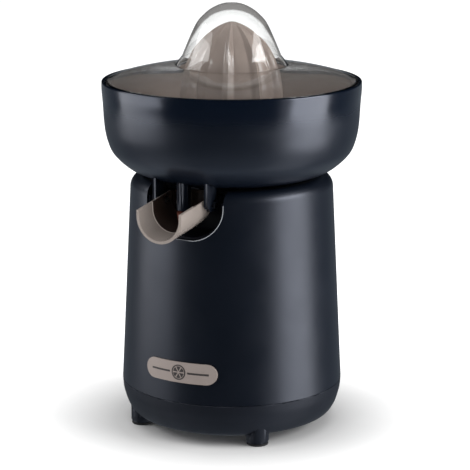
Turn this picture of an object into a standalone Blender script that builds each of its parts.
"""Citrus press juicer: a motor housing, a lift-off bowl with a tilting spout, a strainer, a ribbed
reamer and a clear lid, with the press switch, gear train and motor inside.

Dimensions are in millimetres and become metres as each mesh is made.  The drive axis is vertical,
the front (spout side) faces -Y, and the floor is at height 0.  Turned profiles are lists of
(radius, height) points that run down the outer side and back up the inner side.
"""
import math

import bmesh
import bpy
from mathutils import Matrix

MM = 0.001
TURN_STEPS = 28
SMALL_STEPS = 12
GAP = 0.3

# Overall heights and radii
SEAM_Z = 29.2
BASE_Z = 6.5
DECK_Z = 160.2
SHOULDER_Z = 164.5
RIM_Z = 225.3
LID_TOP_Z = 274.6
RIM_R = 83.4
SEAM_R = 72.05
NECK_R = 65.7
NECK_Z = 156.5
SHOULDER_ROUND = 8.0
WALL = 2.2
SPOUT_TIP_R = 90.5

# The drive axis stands behind the middle of the footprint, because only the spout passes the bowl
AXIS_Y = (SPOUT_TIP_R - RIM_R) / 2

# Feet and base screws
FOOT_RING_R = 60.9
FOOT_R = 7.4
PAD_T = 1.5
BASE_SCREW_R = 58.0
BOSS_TOP_Z = 52.0
SLEEVE_TOP_Z = 33.4

# Spout recess in the front of the housing
RECESS_HALF = 27.6
RECESS_Z = 133.5
RECESS_ROUND = 20.0
RECESS_BACK_Y = -35.9
LINER_WALL = 1.4

# Bowl, drain and spout
FLOOR_Z = 168.6
TOWER_R = 13.0
TOWER_BORE_R = 11.0
TOWER_TOP_Z = 212.0
DRAIN_Y = -60.5
DRAIN_R = 4.5
DRAIN_BORE_R = 3.5
DRAIN_MOUTH_Z = 151.5
EAR_X = 17.4
EAR_T = 2.5
SPOUT_HALF = 16.0
SPOUT_DEPTH = 19.8
SPOUT_WALL = 1.8
SPOUT_REAR_R = 44.0
SPOUT_SLOPE = math.radians(7.5)
SPOUT_TIP_TOP_Z = 155.4
PIVOT_Y = -57.0
PIVOT_Z = 156.0
PIVOT_PIN_R = 2.0
SPOUT_TILT = math.radians(15)
STOPPER_R = 5.4
STOPPER_H = 7.3

# Reamer and strainer
REAMER_TOP_Z = 263.3
REAMER_BASE_Z = 203.0
REAMER_SKIRT_R = 34.2
REAMER_FULLNESS = 2.6
REAMER_POINT = 0.62
RIDGES = 10
RIDGE_DEPTH = 2.3
RIDGE_DEPTH_SHARE = 0.14
CREST_SHARE = 0.1
RIDGE_PHASE = math.radians(7)
HUB_BOTTOM_Z = 215.5
SOCKET_TOP_Z = 236.0
SOCKET_R = 4.95
STRAINER_BORE_R = 35.4
STRAINER_SLOTS = 14

# Badge
BADGE_Z = 49.2
BADGE_W = 50.4
BADGE_H = 13.2

# Shaft, bushes and press travel
SHAFT_R = 4.0
SHAFT_END_Z = 90.0
SHAFT_TOP_Z = 235.5
HEX_Z = 213.0
HEX_R = 4.6
RUNNING_R = 4.3
COLLAR_TOP_Z = 175.0
COLLAR_R = 10.3
COLLAR_BORE_R = 7.4

# Gear train: motor pinion, compound gear and final gear
MODULE_1 = 1.25
MODULE_2 = 1.5
PINION_TEETH = 12
WHEEL_TEETH = 34
STEP_TEETH = 12
FINAL_TEETH = 36
CENTRES_1 = MODULE_1 * (PINION_TEETH + WHEEL_TEETH) / 2
CENTRES_2 = MODULE_2 * (STEP_TEETH + FINAL_TEETH) / 2
COMPOUND_Y = CENTRES_2
MOTOR_X = 20.0
MOTOR_Y = COMPOUND_Y - math.sqrt(CENTRES_1 ** 2 - MOTOR_X ** 2)
LOW_PLATE_Z = (95.0, 97.5)
HIGH_PLATE_Z = (124.0, 126.5)
PLATE_R = 60.0
POST_R = 52.0
WHEEL_Z = (101.0, 107.0)
FINAL_Z = (110.0, 117.0)
CLIP_Z = (118.4, 119.3)

# Switch screws and their holes
SWITCH_SCREWS_X = (11.5, 23.5)
SWITCH_SCREW_Z = 78.0
SWITCH_SCREW_R = 1.0
SWITCH_SCREW_BORE_R = 1.3

# Motor
STACK_Z = (48.0, 68.0)
STATOR_X = (-22.0, 48.0)
STATOR_Y = 26.0
ROTOR_R = 13.3
BORE_R = 13.8
MOTOR_SHAFT_R = 2.5
MOTOR_BORE_R = 2.8
TIE_Y = 21.0
TIE_HOLE_R = 2.1
MOTOR_ANGLE = math.atan2(-MOTOR_Y, -MOTOR_X)

# Press switch
SWITCH_X = (7.5, 27.5)
SWITCH_HALF_Y = 3.2
SWITCH_Z = (74.0, 84.0)
LEVER_PIVOT = (26.3, 0.0, 86.4)
PLUNGER_X = 19.0

# Cord inlet at the back
GLAND_Z = 62.0
GLAND_HOLE_R = 5.3

FINISHES = {
    "navy_paint": ((0.012, 0.018, 0.038), 0.34, 0.0),
    "base_plastic": ((0.045, 0.052, 0.066), 0.55, 0.0),
    "dark_plastic": ((0.010, 0.011, 0.014), 0.60, 0.0),
    "smoke_plastic": ((0.20, 0.165, 0.145), 0.12, 0.0),
    "clear_plastic": ((0.90, 0.92, 0.92), 0.04, 0.0),
    "badge_metal": ((0.50, 0.44, 0.40), 0.35, 0.8),
    "silicone": ((0.20, 0.06, 0.04), 0.55, 0.0),
    "rubber": ((0.02, 0.02, 0.022), 0.80, 0.0),
    "steel": ((0.55, 0.55, 0.56), 0.30, 1.0),
    "laminations": ((0.30, 0.30, 0.31), 0.45, 1.0),
    "copper": ((0.60, 0.26, 0.12), 0.40, 0.6),
    "bronze": ((0.55, 0.38, 0.16), 0.35, 1.0),
    "gear_plastic": ((0.72, 0.70, 0.64), 0.45, 0.0),
    "plate_plastic": ((0.10, 0.11, 0.12), 0.55, 0.0),
    "switch_plastic": ((0.45, 0.05, 0.03), 0.45, 0.0),
}


def clear_scene():
    for old in list(bpy.data.objects):
        bpy.data.objects.remove(old, do_unlink=True)


def new_collection(name):
    group = bpy.data.collections.new(name)
    bpy.context.scene.collection.children.link(group)
    return group


def finish_material(name):
    """The Principled material of one finish, made once."""
    found = bpy.data.materials.get(name)
    if found:
        return found
    colour, roughness, metallic = FINISHES[name]
    made = bpy.data.materials.new(name)
    made.use_nodes = True
    shader = made.node_tree.nodes["Principled BSDF"]
    shader.inputs["Base Color"].default_value = (*colour, 1.0)
    shader.inputs["Roughness"].default_value = roughness
    shader.inputs["Metallic"].default_value = metallic
    if name == "clear_plastic":
        shader.inputs["Transmission Weight"].default_value = 1.0
    return made


clear_scene()
PARTS = new_collection("citrus_press_juicer")
CUTTERS = new_collection("cutters")
AXIS = bpy.data.objects.new("drive_axis", None)
AXIS.location = (0.0, AXIS_Y * MM, 0.0)
PARTS.objects.link(AXIS)


def add_part(name, mesh, finish, at=(0.0, 0.0, 0.0)):
    """An object of the assembly, placed from the drive axis at floor level."""
    obj = bpy.data.objects.new(name, mesh)
    obj.location = tuple(v * MM for v in at)
    obj.parent = AXIS
    PARTS.objects.link(obj)
    if finish:
        mesh.materials.append(finish_material(finish))
    return obj


def combine(obj, other, operation):
    """Cut, join or intersect obj with other, which becomes a hidden guide."""
    if other.name in PARTS.objects:
        PARTS.objects.unlink(other)
        CUTTERS.objects.link(other)
    other.hide_render = True
    other.display_type = "WIRE"
    boolean = obj.modifiers.new(other.name, "BOOLEAN")
    boolean.operation = operation
    boolean.solver = "EXACT"
    boolean.object = other
    return obj


def turned(name, profile, finish, closed=True, steps=TURN_STEPS, at=(0.0, 0.0, 0.0)):
    """A body of revolution about its own vertical axis."""
    mesh = bpy.data.meshes.new(name)
    edges = [(i, i + 1) for i in range(len(profile) - 1)]
    if closed:
        edges.append((len(profile) - 1, 0))
    mesh.from_pydata([(r * MM, 0.0, z * MM) for r, z in profile], edges, [])
    obj = add_part(name, mesh, finish, at)
    screw = obj.modifiers.new("turn", "SCREW")
    screw.steps = steps
    screw.render_steps = steps
    screw.use_merge_vertices = True
    screw.merge_threshold = 0.00001
    return obj


def tube(name, r_out, r_in, z0, z1, finish, steps=SMALL_STEPS, at=(0.0, 0.0, 0.0)):
    """A plain bush, ring or sleeve."""
    profile = [(r_out, z1), (r_out, z0), (r_in, z0), (r_in, z1)]
    return turned(name, profile, finish, steps=steps, at=at)


def add_cylinder(bm, radius, z0, z1, x=0.0, y=0.0, segments=SMALL_STEPS):
    """A capped cylinder in a mesh under construction."""
    place = Matrix.Translation((x * MM, y * MM, (z0 + z1) / 2 * MM))
    bmesh.ops.create_cone(bm, cap_ends=True, segments=segments, radius1=radius * MM,
                          radius2=radius * MM, depth=(z1 - z0) * MM, matrix=place)


def add_box(bm, x0, x1, y0, y1, z0, z1, turn=0.0):
    """A box in a mesh under construction, turned about the vertical axis."""
    size = Matrix.Diagonal(((x1 - x0) * MM, (y1 - y0) * MM, (z1 - z0) * MM, 1.0))
    place = Matrix.Translation(((x0 + x1) / 2 * MM, (y0 + y1) / 2 * MM, (z0 + z1) / 2 * MM))
    bmesh.ops.create_cube(bm, size=1.0, matrix=Matrix.Rotation(turn, 4, "Z") @ place @ size)


def from_bmesh(name, bm, finish, at=(0.0, 0.0, 0.0)):
    mesh = bpy.data.meshes.new(name)
    bm.to_mesh(mesh)
    bm.free()
    return add_part(name, mesh, finish, at)


def cylinders(name, spots, radius, z0, z1, finish=None, segments=SMALL_STEPS):
    """Upright cylinders at several (x, y) spots in one object."""
    bm = bmesh.new()
    for x, y in spots:
        add_cylinder(bm, radius, z0, z1, x, y, segments)
    return from_bmesh(name, bm, finish)


def box(name, x0, x1, y0, y1, z0, z1, finish=None):
    bm = bmesh.new()
    add_box(bm, x0, x1, y0, y1, z0, z1)
    return from_bmesh(name, bm, finish)


def outline_solid(name, outlines, low, high, finish, at=(0.0, 0.0, 0.0)):
    """A plate from closed outlines in plan: the first is the edge, the others are holes."""
    curve = bpy.data.curves.new(name, "CURVE")
    curve.dimensions = "2D"
    curve.fill_mode = "BOTH"
    curve.extrude = (high - low) / 2 * MM
    for outline in outlines:
        spline = curve.splines.new("POLY")
        spline.points.add(len(outline) - 1)
        for point, (x, y) in zip(spline.points, outline):
            point.co = (x * MM, y * MM, 0.0, 1.0)
        spline.use_cyclic_u = True
    flat = bpy.data.objects.new(name + "_outline", curve)
    flat.location = (0.0, 0.0, (low + high) / 2 * MM)
    return curve_to_part(flat, name, finish, at)


def curve_to_part(flat, name, finish, at=(0.0, 0.0, 0.0)):
    """The closed mesh of a curve object, which is then removed."""
    PARTS.objects.link(flat)
    graph = bpy.context.evaluated_depsgraph_get()
    mesh = bpy.data.meshes.new_from_object(flat.evaluated_get(graph))
    mesh.name = name
    mesh.materials.clear()
    bm = bmesh.new()
    bm.from_mesh(mesh)
    bmesh.ops.transform(bm, matrix=flat.matrix_basis, verts=bm.verts)
    bmesh.ops.remove_doubles(bm, verts=bm.verts, dist=0.000001)
    bmesh.ops.recalc_face_normals(bm, faces=bm.faces)
    bm.to_mesh(mesh)
    bm.free()
    bpy.data.objects.remove(flat, do_unlink=True)
    return add_part(name, mesh, finish, at)


def arc(centre_a, centre_b, radius, start, end, count):
    """Points on an arc, angles in degrees, both ends included."""
    angles = [math.radians(start + (end - start) * i / count) for i in range(count + 1)]
    return [(centre_a + radius * math.cos(a), centre_b + radius * math.sin(a)) for a in angles]


def circle(radius, x=0.0, y=0.0, count=SMALL_STEPS):
    return arc(x, y, radius, 0, 360 * (count - 1) / count, count - 1)


def ring_spots(radius, count, start):
    """Evenly spaced (x, y) spots round the drive axis, start in degrees."""
    angles = [math.radians(start + 360 * i / count) for i in range(count)]
    return [(radius * math.cos(a), radius * math.sin(a)) for a in angles]


def shell_radius(z):
    """Outer radius of the tapered housing at a height between the seam and the neck."""
    return SEAM_R + (NECK_R - SEAM_R) * (z - SEAM_Z) / (NECK_Z - SEAM_Z)


def u_outline(half, bottom, round_r, top):
    """A U in the XZ plane with straight sides and rounded lower corners."""
    right = arc(half - round_r, bottom + round_r, round_r, -90, 0, 5)
    left = arc(round_r - half, bottom + round_r, round_r, 180, 270, 5)
    return [(-half, top)] + left + right + [(half, top)]


def front_prism(name, outline, y0, y1, finish=None):
    """An XZ outline extruded along Y."""
    solid = outline_solid(name, [outline], -y1, -y0, finish)
    solid.data.transform(Matrix.Rotation(math.pi / 2, 4, "X"))
    return solid


def screw_bolt(name, x, y, head_r, head_z, shank_r, tip_z, finish="steel"):
    """A pan-head screw that points up: head_z is (low, high), then the shank to tip_z."""
    low, high = head_z
    profile = [(0.0, tip_z), (shank_r, tip_z - shank_r), (shank_r, high), (head_r, high),
               (head_r, low + 0.6), (head_r - 0.8, low), (0.0, low)]
    return turned(name, profile, finish, closed=False, steps=8, at=(x, y, 0.0))


# ---- Housing ------------------------------------------------------------------------------------

def make_body_shell():
    """The tapered tube with its rounded shoulder, dished deck and shaft collar."""
    centre_r = NECK_R - SHOULDER_ROUND
    outer = [(COLLAR_R, COLLAR_TOP_Z), (COLLAR_R, DECK_Z), (50.0, DECK_Z), (54.0, SHOULDER_Z - 0.8)]
    outer += arc(centre_r, NECK_Z, SHOULDER_ROUND, 90, 0, 4)
    outer += [(SEAM_R, SEAM_Z)]
    inner = [(SEAM_R - WALL, SEAM_Z)]
    inner += arc(centre_r, NECK_Z, SHOULDER_ROUND - WALL, 0, 90, 3)
    inner += [(54.6, SHOULDER_Z - WALL - 0.6), (50.9, DECK_Z - WALL), (COLLAR_BORE_R, DECK_Z - WALL)]
    inner += [(COLLAR_BORE_R, COLLAR_TOP_Z)]
    shell = turned("body_shell", outer + inner, "navy_paint")

    bm = bmesh.new()
    for x, y in ring_spots(POST_R, 4, 45):
        add_cylinder(bm, 3.8, HIGH_PLATE_Z[1] + GAP, DECK_Z - 1.0, x, y, 12)
    for quarter in range(4):
        add_box(bm, BASE_SCREW_R - 4.2, SEAM_R - 1.6, -4.2, 4.2, SLEEVE_TOP_Z + GAP, BOSS_TOP_Z,
                quarter * math.pi / 2)
    combine(shell, from_bmesh("shell_bosses", bm, None), "UNION")

    bm = bmesh.new()
    for x, y in ring_spots(POST_R, 4, 45):
        add_cylinder(bm, 2.0, HIGH_PLATE_Z[1] - 5.0, 143.0, x, y, 12)
    for x, y in ring_spots(BASE_SCREW_R, 4, 0):
        add_cylinder(bm, 1.9, SLEEVE_TOP_Z - 5.0, 48.5, x, y, 12)
    add_gland_hole(bm)
    combine(shell, from_bmesh("shell_holes", bm, None), "DIFFERENCE")

    opening = front_prism("recess_cutter", u_outline(RECESS_HALF, RECESS_Z, RECESS_ROUND, 200.0),
                          -100.0, RECESS_BACK_Y)
    combine(shell, opening, "DIFFERENCE")


def add_gland_hole(bm):
    spin = Matrix.Rotation(math.pi / 2, 4, "X")
    place = Matrix.Translation((0.0, SEAM_R * MM, GLAND_Z * MM)) @ spin
    bmesh.ops.create_cone(bm, cap_ends=True, segments=SMALL_STEPS, radius1=GLAND_HOLE_R * MM,
                          radius2=GLAND_HOLE_R * MM, depth=12 * MM, matrix=place)


def make_spout_recess():
    """The dark bucket behind the cutout, open at the front and at the top."""
    half = RECESS_HALF - GAP
    low = RECESS_Z + GAP
    top = DECK_Z - WALL - 0.4
    liner = front_prism("spout_recess", u_outline(half, low, RECESS_ROUND - GAP, top),
                        -72.0, RECESS_BACK_Y - GAP, "dark_plastic")
    hollow = u_outline(half - LINER_WALL, low + LINER_WALL, RECESS_ROUND - GAP - LINER_WALL, 190.0)
    combine(liner, front_prism("liner_hollow", hollow, -90.0, RECESS_BACK_Y - GAP - LINER_WALL),
            "DIFFERENCE")
    drum = cylinders("liner_front", [(0.0, 0.0)], 64.2, 120.0, 200.0, segments=TURN_STEPS)
    combine(liner, drum, "INTERSECT")


def make_badge_plate():
    """A rounded plaque that follows the taper of the housing."""
    low = BADGE_Z - BADGE_H
    high = BADGE_Z + BADGE_H
    band = [(shell_radius(high) + 1.4, high), (shell_radius(low) + 1.4, low),
            (shell_radius(low) + GAP, low), (shell_radius(high) + GAP, high)]
    badge = turned("badge_plate", band, "badge_metal")
    end = BADGE_W / 2 - BADGE_H / 2
    outline = arc(end, BADGE_Z, BADGE_H / 2, -90, 90, 8) + arc(-end, BADGE_Z, BADGE_H / 2, 90, 270, 8)
    combine(badge, front_prism("badge_outline", outline, -100.0, -20.0), "INTERSECT")


def make_base_cover():
    """The rounded lower cover with four moulded legs and four screw sleeves."""
    inner = [(0.0, BASE_Z + WALL), (60.5, BASE_Z + WALL), (64.6, 10.6), (66.9, 14.8), (69.2, 23.0),
             (SEAM_R - WALL, SEAM_Z - GAP)]
    outer = [(SEAM_R, SEAM_Z - GAP), (71.6, 23.0), (70.5, 18.3), (69.1, 14.1), (67.2, 10.4),
             (65.0, 7.9), (62.0, BASE_Z), (0.0, BASE_Z)]
    cover = turned("base_cover", inner + outer, "base_plastic", closed=False)

    bm = bmesh.new()
    for x, y in ring_spots(FOOT_RING_R, 4, 45):
        add_cylinder(bm, FOOT_R, PAD_T + GAP, 14.0, x, y)
    for x, y in ring_spots(BASE_SCREW_R, 4, 0):
        add_cylinder(bm, 4.9, BASE_Z + 1.0, SLEEVE_TOP_Z, x, y, 12)
    combine(cover, from_bmesh("base_legs", bm, None), "UNION")

    bm = bmesh.new()
    for x, y in ring_spots(BASE_SCREW_R, 4, 0):
        add_cylinder(bm, 3.6, 0.0, 13.0, x, y, 12)
    combine(cover, from_bmesh("base_counterbores", bm, None), "DIFFERENCE")
    bores = cylinders("base_bores", ring_spots(BASE_SCREW_R, 4, 0), 1.9, 11.0, 40.0, segments=12)
    combine(cover, bores, "DIFFERENCE")


def make_feet_and_base_screws():
    for number, (x, y) in enumerate(ring_spots(FOOT_RING_R, 4, 45), 1):
        pad = [(0.0, PAD_T), (FOOT_R - 0.6, PAD_T), (FOOT_R - 0.4, 0.6), (FOOT_R - 0.9, 0.0), (0.0, 0.0)]
        turned(f"foot_pad_{number}", pad, "rubber", closed=False, steps=SMALL_STEPS, at=(x, y, 0.0))
    for number, (x, y) in enumerate(ring_spots(BASE_SCREW_R, 4, 0), 1):
        screw_bolt(f"base_screw_{number}", x, y, 3.2, (10.2, 12.7), 1.5, 46.0)


def make_cord_gland():
    """The flanged grommet that a supply cord would pass through."""
    outside = shell_radius(GLAND_Z - 8.0) + GAP
    inside = shell_radius(GLAND_Z + 7.0) - WALL - 1.0
    profile = [(8.0, outside + 2.2), (8.0, outside), (4.9, outside), (4.9, inside), (7.0, inside),
               (7.0, inside - 2.0), (3.2, inside - 2.0), (3.2, outside + 2.2)]
    gland = turned("cord_gland", profile, "rubber", steps=SMALL_STEPS, at=(0.0, 0.0, GLAND_Z))
    gland.rotation_euler = (-math.pi / 2, 0.0, 0.0)


# ---- Bowl, spout, strainer, reamer and lid ----------------------------------------------------------

def make_bowl():
    """The juice bowl with its centre tower, drain tube and the two ears that hold the spout."""
    outer = [(RIM_R - 0.4, RIM_Z), (RIM_R, RIM_Z - 1.2), (RIM_R, RIM_Z - 5.6), (82.7, 211.0),
             (82.1, 200.4), (81.3, 193.0), (79.8, 186.6), (77.6, 181.0), (74.2, 176.6),
             (69.4, 172.2), (64.5, 168.9), (58.0, 166.3), (TOWER_BORE_R, 166.3)]
    inner = [(TOWER_BORE_R, TOWER_TOP_Z), (TOWER_R, TOWER_TOP_Z), (TOWER_R, FLOOR_Z),
             (57.5, FLOOR_Z), (63.6, 171.2), (68.2, 174.2), (72.6, 178.2), (75.7, 182.2),
             (77.7, 187.4), (79.3, 193.4), (80.1, 200.6), (81.2, 219.0), (81.6, RIM_Z)]
    bowl = turned("bowl", outer + inner, "navy_paint")

    ear = [(-54.0, 167.6), (-60.0, 167.8), (-65.5, 170.6), (-65.5, 156.0), (-62.0, 152.5),
           (-57.0, 152.5), (-54.0, 155.5)]
    for side in (-1, 1):
        plate = outline_solid(f"ear_{side}", [ear], EAR_X, EAR_X + EAR_T, None)
        plate.data.transform(Matrix(((0, 0, side, 0), (1, 0, 0, 0), (0, 1, 0, 0), (0, 0, 0, 1))))
        if side < 0:
            plate.data.flip_normals()
        combine(bowl, plate, "UNION")
    pipe = cylinders("drain_pipe", [(0.0, DRAIN_Y)], DRAIN_R, DRAIN_MOUTH_Z, 169.0)
    combine(bowl, pipe, "UNION")
    bore = cylinders("drain_bore", [(0.0, DRAIN_Y)], DRAIN_BORE_R, DRAIN_MOUTH_Z - 4.0, 180.0)
    combine(bowl, bore, "DIFFERENCE")
    combine(bowl, pivot_cutter("ear_pivot_bore"), "DIFFERENCE")


def pivot_cutter(name):
    """A bar through both ears and both spout walls at the pivot."""
    bar = cylinders(name, [(0.0, 0.0)], PIVOT_PIN_R + GAP, -30.0, 30.0, segments=12)
    bar.data.transform(Matrix.Rotation(math.pi / 2, 4, "Y"))
    bar.location = (0.0, PIVOT_Y * MM, PIVOT_Z * MM)
    return bar


def spout_section(reach, width_share, depth_share):
    """One U section of the trough, as points from the left lip round to the right lip."""
    half = (SPOUT_HALF - SPOUT_WALL / 2) * width_share
    depth = (SPOUT_DEPTH - SPOUT_WALL / 2) * depth_share
    lip_z = SPOUT_TIP_TOP_Z + (SPOUT_TIP_R - reach) * math.tan(SPOUT_SLOPE)
    bend = [(half * math.cos(a), -(depth - half) + half * math.sin(a))
            for a in (math.radians(180 + 180 * i / 8) for i in range(9))]
    points = [(-half, 0.0)] + bend + [(half, 0.0)]
    return [(x, -reach - PIVOT_Y, lip_z + z - PIVOT_Z) for x, z in points]


def make_spout():
    """The half-pipe trough: straight to the tip, rounded and closed at the rear."""
    round_r = 11.0
    stations = []
    for degrees in (72, 54, 36, 18, 0):
        a = math.radians(degrees)
        share = 0.45 + 0.55 * math.cos(a)
        stations.append((SPOUT_REAR_R + round_r * (1 - math.sin(a)), share, share))
    stations += [(64.0, 1.0, 1.0), (77.0, 1.0, 1.0), (SPOUT_TIP_R, 1.0, 1.0)]
    bm = bmesh.new()
    rows = []
    for reach, width_share, depth_share in stations:
        points = spout_section(reach, width_share, depth_share)
        rows.append([bm.verts.new((x * MM, y * MM, z * MM)) for x, y, z in points])
    for near, far in zip(rows, rows[1:]):
        for i in range(len(near) - 1):
            bm.faces.new((near[i], near[i + 1], far[i + 1], far[i]))
    bm.faces.new(list(reversed(rows[0])))
    bmesh.ops.recalc_face_normals(bm, faces=bm.faces)
    spout = from_bmesh("spout", bm, "smoke_plastic", at=(0.0, PIVOT_Y, PIVOT_Z))
    wall = spout.modifiers.new("wall", "SOLIDIFY")
    wall.thickness = SPOUT_WALL * MM
    wall.offset = 0.0
    wall.use_even_offset = True
    combine(spout, pivot_cutter("spout_pivot_bore"), "DIFFERENCE")


def make_spout_fittings():
    """The two pivot pins, and the silicone stopper that meets the drain when the spout tilts up."""
    for side, label in ((-1, "left"), (1, "right")):
        pin = cylinders(f"spout_pin_{label}", [(0.0, 0.0)], PIVOT_PIN_R, 13.6, 21.2, "steel", 12)
        pin.data.transform(Matrix.Rotation(side * math.pi / 2, 4, "Y"))
        pin.location = (0.0, PIVOT_Y * MM, PIVOT_Z * MM)
    top = DRAIN_MOUTH_Z - GAP - PIVOT_Z
    bm = bmesh.new()
    add_cylinder(bm, STOPPER_R, top - STOPPER_H, top, 0.0, DRAIN_Y - PIVOT_Y)
    bmesh.ops.rotate(bm, verts=bm.verts, cent=(0.0, 0.0, 0.0),
                     matrix=Matrix.Rotation(SPOUT_TILT, 3, "X"))
    from_bmesh("spout_stopper", bm, "silicone", at=(0.0, PIVOT_Y, PIVOT_Z))


def make_strainer():
    """The juice strainer: an annular basket with slots in its floor."""
    outer = [(79.9, 221.6), (79.0, 203.0), (78.1, 194.0), (76.5, 188.0), (74.3, 183.4),
             (70.8, 179.6), (65.6, 176.2), (STRAINER_BORE_R, 174.0)]
    inner = [(STRAINER_BORE_R, 181.0), (STRAINER_BORE_R + 1.5, 181.0), (STRAINER_BORE_R + 1.6, 175.8),
             (64.8, 177.9), (69.6, 181.0), (72.9, 184.6), (75.0, 188.8), (76.6, 194.6), (78.3, 221.6)]
    strainer = turned("strainer", outer + inner, "smoke_plastic")
    bm = bmesh.new()
    for number in range(STRAINER_SLOTS):
        turn = 2 * math.pi * (number + 0.5) / STRAINER_SLOTS
        add_box(bm, 42.0, 61.0, -0.9, 0.9, 170.0, 181.5, turn)
    combine(strainer, from_bmesh("strainer_slots", bm, None), "DIFFERENCE")


def reamer_radius(z):
    """Ridge radius of the cone: a pointed dome above a nearly straight skirt."""
    share = min(1.0, (REAMER_TOP_Z - z) / (REAMER_TOP_Z - REAMER_BASE_Z))
    return REAMER_SKIRT_R * (1 - (1 - share) ** REAMER_FULLNESS) ** REAMER_POINT


def make_reamer():
    """The ribbed cone with the hexagonal socket that sits on the shaft."""
    levels = [REAMER_TOP_Z - drop for drop in (0.6, 3.0, 8.0, 16.0, 26.0, 40.0)] + [REAMER_BASE_Z]
    outer = [(0.0, REAMER_TOP_Z)] + [(reamer_radius(z), z) for z in levels]
    inner = [(30.0, REAMER_BASE_Z), (28.2, 222.0), (23.8, 237.0), (16.6, 247.5), (9.5, 252.0),
             (9.0, HUB_BOTTOM_Z), (5.6, HUB_BOTTOM_Z), (5.6, 232.0), (0.0, 232.0)]
    bm = bmesh.new()
    points = [bm.verts.new((r * MM, 0.0, z * MM)) for r, z in outer + inner]
    edges = [bm.edges.new(pair) for pair in zip(points, points[1:])]
    bmesh.ops.spin(bm, geom=points + edges, cent=(0.0, 0.0, 0.0), axis=(0.0, 0.0, 1.0),
                   angle=2 * math.pi, steps=RIDGES * 4, use_merge=True)
    bmesh.ops.remove_doubles(bm, verts=bm.verts, dist=0.00001)
    for vert in bm.verts:
        carve_ridge(vert)
    bmesh.ops.recalc_face_normals(bm, faces=bm.faces)
    reamer = from_bmesh("reamer", bm, "smoke_plastic")
    reamer.rotation_euler = (0.0, 0.0, RIDGE_PHASE)
    hexagon = cylinders("hex_socket", [(0.0, 0.0)], SOCKET_R + 0.4, HUB_BOTTOM_Z - 2, SOCKET_TOP_Z,
                        segments=6)
    combine(reamer, hexagon, "DIFFERENCE")


def carve_ridge(vert):
    """Pull an outer vertex in unless it is on the crest of a ridge."""
    z = vert.co.z / MM
    radius = math.hypot(vert.co.x, vert.co.y) / MM
    if radius < 1.0 or radius < reamer_radius(z) - 0.5:
        return
    crests = math.atan2(vert.co.y, vert.co.x) * RIDGES / (2 * math.pi)
    if abs(crests - round(crests)) < CREST_SHARE:
        return
    scale = 1 - min(RIDGE_DEPTH / radius, RIDGE_DEPTH_SHARE)
    vert.co.x *= scale
    vert.co.y *= scale


def make_lid():
    """The clear lid: a shallow cone inside the bowl rim that rises to a dome over the reamer."""
    outer = [(0.0, LID_TOP_Z), (7.0, 273.6), (13.0, 270.9), (18.0, 266.6), (22.0, 262.3),
             (26.2, 253.8), (29.9, 245.2), (31.8, 240.6), (36.2, 235.2), (58.0, 231.4), (72.0, 228.2),
             (80.4, 225.4), (80.9, 222.1)]
    inner = [(79.3, 222.1), (79.0, 223.8), (71.6, 226.4), (57.6, 229.6), (35.6, 233.2),
             (30.3, 239.6), (28.2, 244.6), (24.4, 252.9), (20.0, 260.8), (15.6, 265.2),
             (11.0, 268.4), (5.8, 270.4), (0.0, 271.0)]
    turned("lid", outer + inner, "clear_plastic", closed=False)


# ---- Drive shaft, bushes and press parts -----------------------------------------------------------

def make_drive_shaft():
    """The round shaft with a circlip groove, and the hexagon that drives the reamer."""
    groove = (CLIP_Z[0] - GAP, CLIP_Z[1] + GAP)
    profile = [(0.0, HEX_Z + 3.0), (SHAFT_R - 0.5, HEX_Z + 3.0), (SHAFT_R, HEX_Z), (SHAFT_R, groove[1]),
               (3.3, groove[1]), (3.3, groove[0]), (SHAFT_R, groove[0]), (SHAFT_R, SHAFT_END_Z),
               (0.0, SHAFT_END_Z)]
    shaft = turned("drive_shaft", profile, "steel", closed=False, steps=SMALL_STEPS)
    hexagon = cylinders("shaft_hexagon", [(0.0, 0.0)], HEX_R, HEX_Z, SHAFT_TOP_Z, segments=6)
    combine(shaft, hexagon, "UNION")


def make_bushes_and_press_parts():
    deck = [(7.1, 170.5), (7.1, 157.6), (11.0, 157.6), (11.0, 155.6), (RUNNING_R, 155.6),
            (RUNNING_R, 170.5)]
    turned("deck_bush", deck, "bronze", steps=SMALL_STEPS)
    low = [(9.0, 99.2), (9.0, 97.8), (6.2, 97.8), (6.2, 93.8), (RUNNING_R, 93.8), (RUNNING_R, 99.2)]
    turned("plate_bush", low, "bronze", steps=SMALL_STEPS)
    tube("shaft_seal", 7.1, RUNNING_R + 0.1, 170.9, 174.8, "rubber")
    tube("shaft_circlip", 6.2, 3.7, CLIP_Z[0], CLIP_Z[1], "steel")
    tube("thrust_washer", 8.5, RUNNING_R + 0.1, 108.3, 109.6, "steel")
    cap = [(6.8, 93.2), (6.8, 88.0), (6.0, 87.2), (0.0, 87.2)]
    bore = [(0.0, SHAFT_END_Z - GAP), (RUNNING_R, SHAFT_END_Z - GAP), (RUNNING_R, 93.2)]
    turned("thrust_cap", bore + cap, "dark_plastic", closed=False, steps=SMALL_STEPS)


def make_press_spring():
    """The compression spring that lifts the drive shaft."""
    turns = 3.5
    per_turn = 10
    count = int(turns * per_turn)
    curve = bpy.data.curves.new("press_spring", "CURVE")
    curve.dimensions = "3D"
    curve.bevel_depth = 0.55 * MM
    curve.bevel_resolution = 1
    curve.use_fill_caps = True
    spline = curve.splines.new("POLY")
    spline.points.add(count)
    for i, point in enumerate(spline.points):
        a = 2 * math.pi * i / per_turn
        z = 99.9 + 7.5 * i / count
        point.co = (6.4 * math.cos(a) * MM, 6.4 * math.sin(a) * MM, z * MM, 1.0)
    curve_to_part(bpy.data.objects.new("spring_wire", curve), "press_spring", "steel")


# ---- Gear train ----------------------------------------------------------------------------------------

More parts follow.
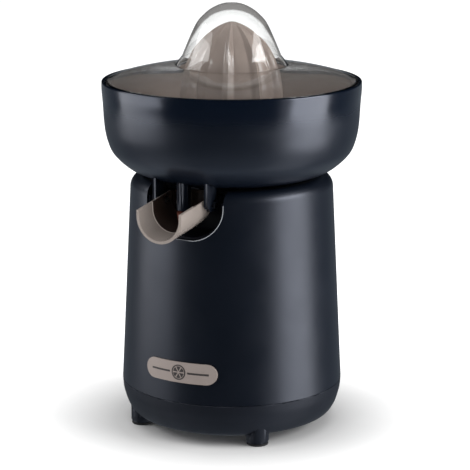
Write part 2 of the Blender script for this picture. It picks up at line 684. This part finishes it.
def gear_outline(teeth, module, phase):
    """An involute spur gear with a tooth centred on the phase angle (radians)."""
    pressure = math.radians(20)
    backlash = 0.16
    pitch_r = teeth * module / 2
    base_r = pitch_r * math.cos(pressure)
    tip_r = pitch_r + 0.85 * module
    root_r = pitch_r - 1.2 * module
    half = (math.pi * module / 2 - backlash) / 2 / pitch_r
    start_r = max(base_r, root_r + 0.05)

    def flank(radius):
        a = math.acos(min(1.0, base_r / radius))
        return half + (math.tan(pressure) - pressure) - (math.tan(a) - a)

    side = [(root_r, flank(start_r)), (pitch_r, flank(pitch_r)), (tip_r, flank(tip_r))]
    points = []
    for tooth in range(teeth):
        centre = phase + 2 * math.pi * tooth / teeth
        for r, a in side:
            points.append((r * math.cos(centre - a), r * math.sin(centre - a)))
        for r, a in reversed(side):
            points.append((r * math.cos(centre + a), r * math.sin(centre + a)))
    return points


def make_gears():
    """Final gear on the drive axis, compound gear behind it, and the motor pinion."""
    to_compound = math.pi / 2
    final = gear_outline(FINAL_TEETH, MODULE_2, to_compound)
    outline_solid("final_gear", [final, circle(RUNNING_R)], *FINAL_Z, "gear_plastic")

    at = (0.0, COMPOUND_Y, 0.0)
    step_phase = -math.pi / 2 + math.pi / STEP_TEETH
    to_motor = math.atan2(MOTOR_Y - COMPOUND_Y, MOTOR_X)
    wheel = outline_solid("compound_gear", [gear_outline(WHEEL_TEETH, MODULE_1, to_motor)],
                          *WHEEL_Z, "gear_plastic", at)
    step = outline_solid("compound_step", [gear_outline(STEP_TEETH, MODULE_2, step_phase)],
                         WHEEL_Z[1] - 1.0, 119.5, None, at)
    combine(wheel, step, "UNION")
    bore = cylinders("compound_bore", [(0.0, COMPOUND_Y)], MOTOR_BORE_R, 90.0, 130.0, segments=12)
    combine(wheel, bore, "DIFFERENCE")
    axle = [(0.0, 127.5), (MOTOR_SHAFT_R - 0.4, 127.5), (MOTOR_SHAFT_R, 127.0), (MOTOR_SHAFT_R, 94.0),
            (0.0, 94.0)]
    turned("compound_axle", axle, "steel", closed=False, steps=12, at=at)

    pinion = gear_outline(PINION_TEETH, MODULE_1, to_motor + math.pi + math.pi / PINION_TEETH)
    outline_solid("motor_pinion", [pinion, circle(MOTOR_BORE_R, count=12)], 100.6, 107.2, "bronze",
                  (MOTOR_X, MOTOR_Y, 0.0))


def motor_to_axis(x, y):
    """A point in the motor's own plan axes, seen from the drive axis."""
    c, s = math.cos(MOTOR_ANGLE), math.sin(MOTOR_ANGLE)
    return (MOTOR_X + c * x - s * y, MOTOR_Y + s * x + c * y)


def tie_spots():
    return [motor_to_axis(0.0, TIE_Y), motor_to_axis(0.0, -TIE_Y)]


def make_gear_plates():
    """The two plates that carry the gears; the lower one has moulded pillars."""
    posts = ring_spots(POST_R, 4, 45)
    edge = circle(PLATE_R, count=TURN_STEPS)
    corner_holes = [circle(2.0, x, y, 12) for x, y in posts]
    axle_hole = circle(MOTOR_BORE_R, 0.0, COMPOUND_Y, 12)
    outline_solid("gear_plate_upper", [edge, circle(8.0), axle_hole] + corner_holes, *HIGH_PLATE_Z,
                  "plate_plastic")
    ties = [circle(TIE_HOLE_R, x, y, 12) for x, y in tie_spots()]
    pinion_hole = circle(9.6, MOTOR_X, MOTOR_Y)
    plate = outline_solid("gear_plate_lower", [edge, circle(6.5), axle_hole, pinion_hole] + ties,
                          *LOW_PLATE_Z, "plate_plastic")
    pillars = cylinders("plate_pillars", posts, 4.2, LOW_PLATE_Z[0] + 1.0, HIGH_PLATE_Z[0] - GAP,
                        segments=12)
    combine(plate, pillars, "UNION")
    bores = cylinders("pillar_bores", posts, 2.0, 80.0, 130.0, segments=12)
    combine(plate, bores, "DIFFERENCE")
    for number, (x, y) in enumerate(posts, 1):
        screw_bolt(f"gearbox_screw_{number}", x, y, 3.4, (92.0, 94.7), 1.6, 139.0)


# ---- Motor ---------------------------------------------------------------------------------------------

def turn_with_motor(obj):
    obj.location = (MOTOR_X * MM, MOTOR_Y * MM, 0.0)
    obj.rotation_euler = (0.0, 0.0, MOTOR_ANGLE)
    return obj


def make_stator():
    """The laminated frame with the rotor bore, the coil window and two tie holes."""
    x0, x1 = STATOR_X
    frame = [(x0, -STATOR_Y), (x1, -STATOR_Y), (x1, STATOR_Y), (x0, STATOR_Y)]
    window = [(19.0, -15.0), (36.0, -15.0), (36.0, 15.0), (19.0, 15.0)]
    ties = [circle(TIE_HOLE_R, 0.0, y, 12) for y in (TIE_Y, -TIE_Y)]
    stack = outline_solid("stator", [frame, circle(BORE_R, count=24), window] + ties, *STACK_Z,
                          "laminations")
    turn_with_motor(stack)

    middle = sum(STACK_Z) / 2
    coil = box("stator_coil", 25.8, 58.2, -14.4, 14.4, middle - 20.2, middle + 20.2, "copper")
    limb = box("coil_limb", 35.7, x1 + GAP, -20.0, 20.0, middle - 10.3, middle + 10.3)
    combine(coil, turn_with_motor(limb), "DIFFERENCE")
    turn_with_motor(coil)


def bearing_bridge(name, foot, crown, bearing_hole):
    """A bridge over the rotor: feet at height foot, crown at height crown, 2 mm thick."""
    t = 2.0
    lift = 1 if crown > foot else -1
    lower = [(-STATOR_Y, foot), (-17.5, foot), (-14.0, crown), (14.0, crown), (17.5, foot),
             (STATOR_Y, foot)]
    upper = [(STATOR_Y, foot + lift * t), (16.5, foot + lift * t), (13.0, crown + lift * t),
             (-13.0, crown + lift * t), (-16.5, foot + lift * t), (-STATOR_Y, foot + lift * t)]
    bar = outline_solid(name, [lower + upper], -8.0, 8.0, "steel")
    bar.data.transform(Matrix(((0, 0, 1, 0), (1, 0, 0, 0), (0, 1, 0, 0), (0, 0, 0, 1))))
    bm = bmesh.new()
    add_cylinder(bm, bearing_hole, crown - 6, crown + 6)
    for y in (TIE_Y, -TIE_Y):
        add_cylinder(bm, TIE_HOLE_R, foot - 6, foot + 6, 0.0, y, 12)
    holes = from_bmesh(name + "_holes", bm, None)
    combine(bar, turn_with_motor(holes), "DIFFERENCE")
    turn_with_motor(bar)


def make_motor():
    """Stator, rotor, bearing bridges and the two long tie screws."""
    make_stator()
    at = (MOTOR_X, MOTOR_Y, 0.0)
    tube("rotor_core", ROTOR_R, MOTOR_BORE_R, STACK_Z[0] - 1.0, STACK_Z[1] + 0.6, "laminations",
         steps=24, at=at)
    shaft = [(0.0, 107.3), (MOTOR_SHAFT_R - 0.4, 107.3), (MOTOR_SHAFT_R, 106.8), (MOTOR_SHAFT_R, 36.0),
             (0.0, 36.0)]
    turned("motor_shaft", shaft, "steel", closed=False, steps=12, at=at)
    bearing_bridge("motor_bridge_upper", STACK_Z[1] + GAP, STACK_Z[1] + 3.4, 5.8)
    bearing_bridge("motor_bridge_lower", STACK_Z[0] - GAP, STACK_Z[0] - 6.0, 5.8)
    tube("motor_bearing_upper", 5.5, MOTOR_BORE_R, 69.4, 75.4, "bronze", steps=12, at=at)
    tube("motor_bearing_lower", 5.5, MOTOR_BORE_R, 38.0, 44.0, "bronze", steps=12, at=at)
    for number, (x, y) in enumerate(tie_spots(), 1):
        screw_bolt(f"motor_screw_{number}", x, y, 3.4, (42.2, 45.4), 1.7, 100.0)
        tube(f"motor_spacer_{number}", 3.5, TIE_HOLE_R, STACK_Z[1] + 2.6, LOW_PLATE_Z[0] - GAP, "steel",
             steps=12, at=(x, y, 0.0))


# ---- Press switch --------------------------------------------------------------------------------------

def make_switch():
    """The switch that the thrust cap works through a lever, and its hanging bracket."""
    body = box("switch_body", *SWITCH_X, -SWITCH_HALF_Y, SWITCH_HALF_Y, *SWITCH_Z, "switch_plastic")
    x, _, z = LEVER_PIVOT
    bm = bmesh.new()
    for y0, y1 in ((-3.2, -2.4), (2.4, 3.2)):
        add_box(bm, x - 1.8, x + 1.2, y0, y1, SWITCH_Z[1] - 1.0, z + 1.4)
    combine(body, from_bmesh("switch_ears", bm, None), "UNION")
    combine(body, across("lever_pin_bore", 0.85, -5.0, 5.0, x, z), "DIFFERENCE")
    well = cylinders("plunger_well", [(PLUNGER_X, 0.0)], 1.5, SWITCH_Z[1] - 4.0, SWITCH_Z[1] + 2.0,
                     segments=12)
    combine(body, well, "DIFFERENCE")
    for number, x_screw in enumerate(SWITCH_SCREWS_X, 1):
        bore = across(f"switch_bore_{number}", SWITCH_SCREW_BORE_R, -5.0, 5.0, x_screw, SWITCH_SCREW_Z)
        combine(body, bore, "DIFFERENCE")
        across(f"switch_screw_{number}", SWITCH_SCREW_R, -4.4, 5.6, x_screw, SWITCH_SCREW_Z, "steel")
    across("lever_pin", 0.55, -3.2, 3.2, x, z, "steel")
    plunger = [(0.0, 85.6), (0.7, 85.6), (1.2, 85.1), (1.2, 81.0), (0.0, 81.0)]
    turned("switch_plunger", plunger, "dark_plastic", closed=False, steps=12, at=(PLUNGER_X, 0.0, 0.0))
    make_lever()
    make_switch_bracket()


def across(name, radius, y0, y1, x, z, finish=None):
    """A rod along Y at (x, z)."""
    rod = cylinders(name, [(0.0, 0.0)], radius, -y1, -y0, finish, 12)
    rod.data.transform(Matrix.Rotation(math.pi / 2, 4, "X"))
    rod.location = (x * MM, 0.0, z * MM)
    return rod


def make_lever():
    """The flat lever under the thrust cap, with a rolled eye on its pin."""
    x, y, z = LEVER_PIVOT
    lever = box("switch_lever", -x - 4.0, 0.4, -2.1, 2.1, -0.5, 0.5, "steel")
    lever.location = (x * MM, y * MM, z * MM)
    combine(lever, across("lever_eye", 1.25, -2.1, 2.1, x, z), "UNION")
    combine(lever, across("lever_eye_bore", 0.85, -4.0, 4.0, x, z), "DIFFERENCE")


def make_switch_bracket():
    """An L of sheet steel that hangs the switch under the lower gear plate."""
    y0 = SWITCH_HALF_Y + GAP
    high = LOW_PLATE_Z[0] - GAP
    profile = [(y0, 74.0), (y0 + 1.4, 74.0), (y0 + 1.4, high - 1.4), (11.5, high - 1.4), (11.5, high),
               (y0, high)]
    plate = outline_solid("switch_bracket", [profile], 9.0, 24.0, "steel")
    plate.data.transform(Matrix(((0, 0, 1, 0), (1, 0, 0, 0), (0, 1, 0, 0), (0, 0, 0, 1))))
    for number, x_screw in enumerate(SWITCH_SCREWS_X, 1):
        bore = across(f"bracket_bore_{number}", SWITCH_SCREW_BORE_R, -2.0, 9.0, x_screw, SWITCH_SCREW_Z)
        combine(plate, bore, "DIFFERENCE")


make_body_shell()
make_spout_recess()
make_badge_plate()
make_base_cover()
make_feet_and_base_screws()
make_cord_gland()
make_bowl()
make_spout()
make_spout_fittings()
make_strainer()
make_reamer()
make_lid()
make_drive_shaft()
make_bushes_and_press_parts()
make_press_spring()
make_gears()
make_gear_plates()
make_motor()
make_switch()
